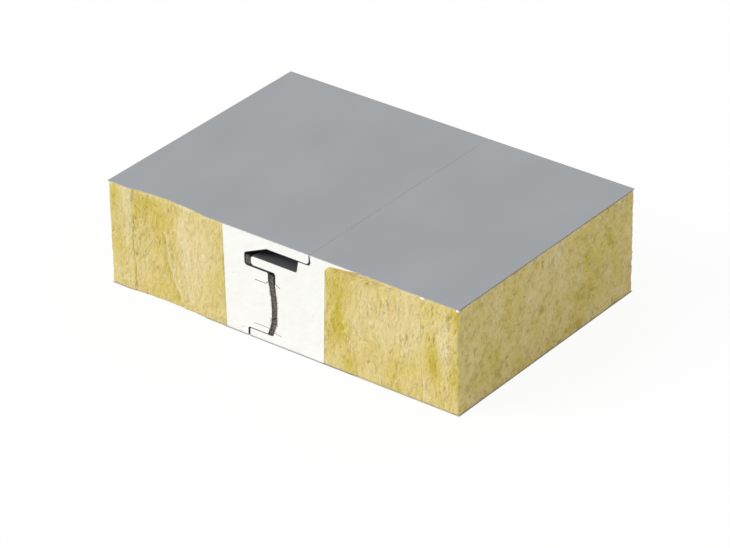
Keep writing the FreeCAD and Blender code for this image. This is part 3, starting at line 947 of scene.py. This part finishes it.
def sawn_prism(node, name, cut, seed, material, holes=(), shaded_rim=0):
    """A prism like the frame's, with a fine mesh and some relief on both saw cuts.

    holes are blow holes (x, z, radius) in the front cut, in mm."""
    outline = subdivided(cut_outline(node), cut.spacing)
    low, high = (np.array(corner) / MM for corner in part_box(node))
    flat, triangles = fill_outline(outline, low, high, cut.spacing, seed)
    from_rim = edge_distance(flat, outline)
    cuts, shades = [], []
    for index, (level, outward) in enumerate(((low[1], -1), (high[1], 1))):
        at = np.stack([flat[:, 0], np.full(len(flat), level), flat[:, 1]], axis=1)
        bumps = layered_noise(at / cut.bump_size, seed + 5 * index, 3) - 0.4
        height = cut.bump_height * bumps
        # painted shade: a dark rim along a seal's outline
        shade = 0.9 * mound((from_rim / shaded_rim) ** 2) if shaded_rim else np.zeros(len(flat))
        for x, z, radius in holes if outward < 0 else ():
            distance = ((flat[:, 0] - LOW[0] - x) / radius) ** 2 + ((flat[:, 1] - z) / radius) ** 2
            hole = mound(distance ** 1.5)
            height = height - HOLE_DEPTH * radius * hole
            shade = np.maximum(shade, hole)
        at[:, 1] += outward * height * rise(from_rim, 0, CALM_RIM_MM)
        cuts.append(at)
        shades.append(shade)
    count = len(flat)
    faces = [tuple(t) for t in triangles] + [tuple(v + count for v in t[::-1]) for t in triangles]
    faces += [(b, a, a + count, b + count) for a, b in open_edges(triangles)]
    values = np.stack([np.concatenate(shades), np.tile(grey_edging_of(flat, low[2]), 2)], axis=1)
    piece = mesh_piece(name, np.concatenate(cuts), faces, values, material)
    bpy.context.view_layer.update()
    face_outward(piece.data)
    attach(piece, "root")
    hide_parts(node)


def chip(name, centre, size, seed, material):
    """A bit of hardened white foam on an edge: a small closed lump."""
    shape = bmesh.new()
    bmesh.ops.create_icosphere(shape, subdivisions=3, radius=1)
    unit = np.array([v.co for v in shape.verts])
    radius = 1 + 0.35 * layered_noise(unit * 1.7, seed, 3)
    points = unit * radius[:, None] * size + centre
    faces = [tuple(v.index for v in face.verts) for face in shape.faces]
    shape.free()
    piece = mesh_piece(name, points, faces, np.zeros((len(points), 2)), material)
    piece.data.polygons.foreach_set("use_smooth", [True] * len(faces))
    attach(piece, "root")


# ---- the object: places in mm, x from the left cut end and z from the underside ---------
GROOVE_FOAM_HOLES = [(145, 6, 0.9), (136, 55, 0.5), (158, 50, 0.5)]
TONGUE_FOAM_HOLES = [(225, 94, 0.8), (160, 3.5, 0.6), (205, 40, 0.5)]
CHIP_DROP_MM = 1.4        # of the chips' middles, below the outer face


def dress():
    paint = paint_material("outer_paint", PAINT)
    bend_highlight = paint_material("bend_highlight", BEND_HIGHLIGHT)
    inner_paint = paint_material("inner_paint", INNER_PAINT)
    steel = cut_steel_material("cut_steel", 1.0)
    end_steel = cut_steel_material("end_steel", 0.1)
    primer_and_shade = paint_material("primer_and_shade_coat", PRIMER_AND_SHADE_COAT)
    wool = wool_material()
    foam = foam_material()
    seal = seal_material()
    number = 0
    for panel in PANELS:
        finish_facing(f"{panel}_outer_facing", paint, steel, primer_and_shade, end_steel, bend_highlight)
        finish_facing(f"{panel}_inner_facing", inner_paint, steel, primer_and_shade, end_steel, bend_highlight)
        for strip in (1, 2):
            number += 1
            build_wool(f"{panel}_wool_strip_{strip}", number, wool)
    sawn_prism("groove_panel_foam_edge", "groove_panel_foam", FOAM_CUT, 11, foam,
               holes=GROOVE_FOAM_HOLES)
    sawn_prism("tongue_panel_foam_edge", "tongue_panel_foam", FOAM_CUT, 12, foam,
               holes=TONGUE_FOAM_HOLES)
    top = HIGH[2] - CHIP_DROP_MM
    chip("foam_chip_1", (LOW[0] + 333, LOW[1] + 0.1, top), (2.9, 0.9, 0.9), 21, foam)
    chip("foam_chip_2", (LOW[0] + 367.6, LOW[1] + 0.6, top + 0.1), (1.5, 1.1, 1.1), 22, foam)
    sawn_prism("edge_seal", "edge_seal_strip", SEAL_CUT, 13, seal, shaded_rim=0.6)
    sawn_prism("groove_seal", "groove_seal_bead", SEAL_CUT, 14, seal, shaded_rim=0.5)


# ---- studio ---------------------------------------------------------------------------
CAMERA_AZIMUTH = 37.9
CAMERA_ELEVATION = 30.04
CAMERA_ROLL = -0.89
CAMERA_LENS = 192.4
CAMERA_SENSOR = 36
CAMERA_DISTANCE = 3.319
CAMERA_AIM = Vector((0.0056, -0.0162, 0.0220))
CAMERA_CLIP = (0.1, 100)
WORLD_LIGHT = 0.68
KEY_LIGHT = 0.5
KEY_FROM = (-0.55, -0.65, 0.55)
KEY_SOFTNESS = 30
FLOOR_REACH = 8
FLOOR_DROP = 0.0001
FLOOR_GLOW = 0.92         # share of the floor's look that takes no shadow


def build_camera():
    azimuth, elevation = math.radians(CAMERA_AZIMUTH), math.radians(CAMERA_ELEVATION)
    back = Vector((math.sin(azimuth) * math.cos(elevation),
                   -math.cos(azimuth) * math.cos(elevation), math.sin(elevation)))
    camera = bpy.data.objects.new("camera", bpy.data.cameras.new("camera"))
    camera.data.lens = CAMERA_LENS
    camera.data.sensor_width = CAMERA_SENSOR
    camera.data.clip_start, camera.data.clip_end = CAMERA_CLIP
    facing = (-back).to_track_quat("-Z", "Y").to_matrix().to_4x4()
    roll = Matrix.Rotation(math.radians(CAMERA_ROLL), 4, "Z")
    camera.matrix_world = Matrix.Translation(CAMERA_AIM + back * CAMERA_DISTANCE) @ facing @ roll
    bpy.context.scene.collection.objects.link(camera)
    bpy.context.scene.camera = camera


def add_sun(name, towards, brightness, softness):
    """A soft sun; brightness 1 lights a surface that faces it to its own colour."""
    light = bpy.data.lights.new(name, "SUN")
    light.energy = brightness * math.pi
    light.angle = math.radians(softness)
    sun = bpy.data.objects.new(name, light)
    sun.rotation_mode = "QUATERNION"
    sun.rotation_quaternion = Vector(towards).to_track_quat("Z", "Y")
    bpy.context.scene.collection.objects.link(sun)


def seen_directly(tree):
    """1 for what the camera sees, straight or in a reflection, and 0 for other light."""
    rays = tree.nodes.new("ShaderNodeLightPath")
    return maths(tree, "MAXIMUM", rays.outputs["Is Camera Ray"], rays.outputs["Is Glossy Ray"])


def mix_shaders(tree, share, first, second, target):
    mix = tree.nodes.new("ShaderNodeMixShader")
    feed(tree, mix.inputs, (share, first.outputs[0], second.outputs[0]))
    tree.links.new(mix.outputs[0], target)


def floor_material():
    """White floor: its lit colour bounces light, and most of what is seen glows white."""
    material = bpy.data.materials.new("floor")
    material.use_nodes = True
    tree = material.node_tree
    tree.nodes.clear()
    output = tree.nodes.new("ShaderNodeOutputMaterial")
    diffuse = tree.nodes.new("ShaderNodeBsdfDiffuse")
    glow = tree.nodes.new("ShaderNodeEmission")
    seen = seen_directly(tree)
    colour = blend_colour(tree, seen, linear(FLOOR_BOUNCE), linear(FLOOR))
    tree.links.new(colour, diffuse.inputs["Color"])
    share = maths(tree, "MULTIPLY", seen, FLOOR_GLOW)
    mix_shaders(tree, share, diffuse, glow, output.inputs["Surface"])
    return material


def build_floor():
    mesh = bpy.data.meshes.new("floor")
    corners = [(x * FLOOR_REACH, y * FLOOR_REACH, 0) for x, y in ((-1, -1), (1, -1), (1, 1), (-1, 1))]
    mesh.from_pydata(corners, [], [(0, 1, 2, 3)])
    mesh.materials.append(floor_material())
    floor = bpy.data.objects.new("floor", mesh)
    floor.location.z = cad_box[0].z - FLOOR_DROP
    bpy.context.scene.collection.objects.link(floor)


def build_world():
    """Even light from all sides, in front of a pure white background."""
    world = bpy.data.worlds.new("studio")
    bpy.context.scene.world = world
    world.use_nodes = True
    tree = world.node_tree
    ambient = tree.nodes["Background"]
    white = tree.nodes.new("ShaderNodeBackground")
    for background in (ambient, white):
        background.inputs["Color"].default_value = (1, 1, 1, 1)
    ambient.inputs["Strength"].default_value = WORLD_LIGHT
    mix_shaders(tree, seen_directly(tree), ambient, white, tree.nodes["World Output"].inputs["Surface"])


def build_studio():
    build_floor()
    build_world()
    add_sun("key", KEY_FROM, KEY_LIGHT, KEY_SOFTNESS)
    build_camera()
    bpy.context.scene.view_settings.view_transform = "Standard"


dress()
build_studio()
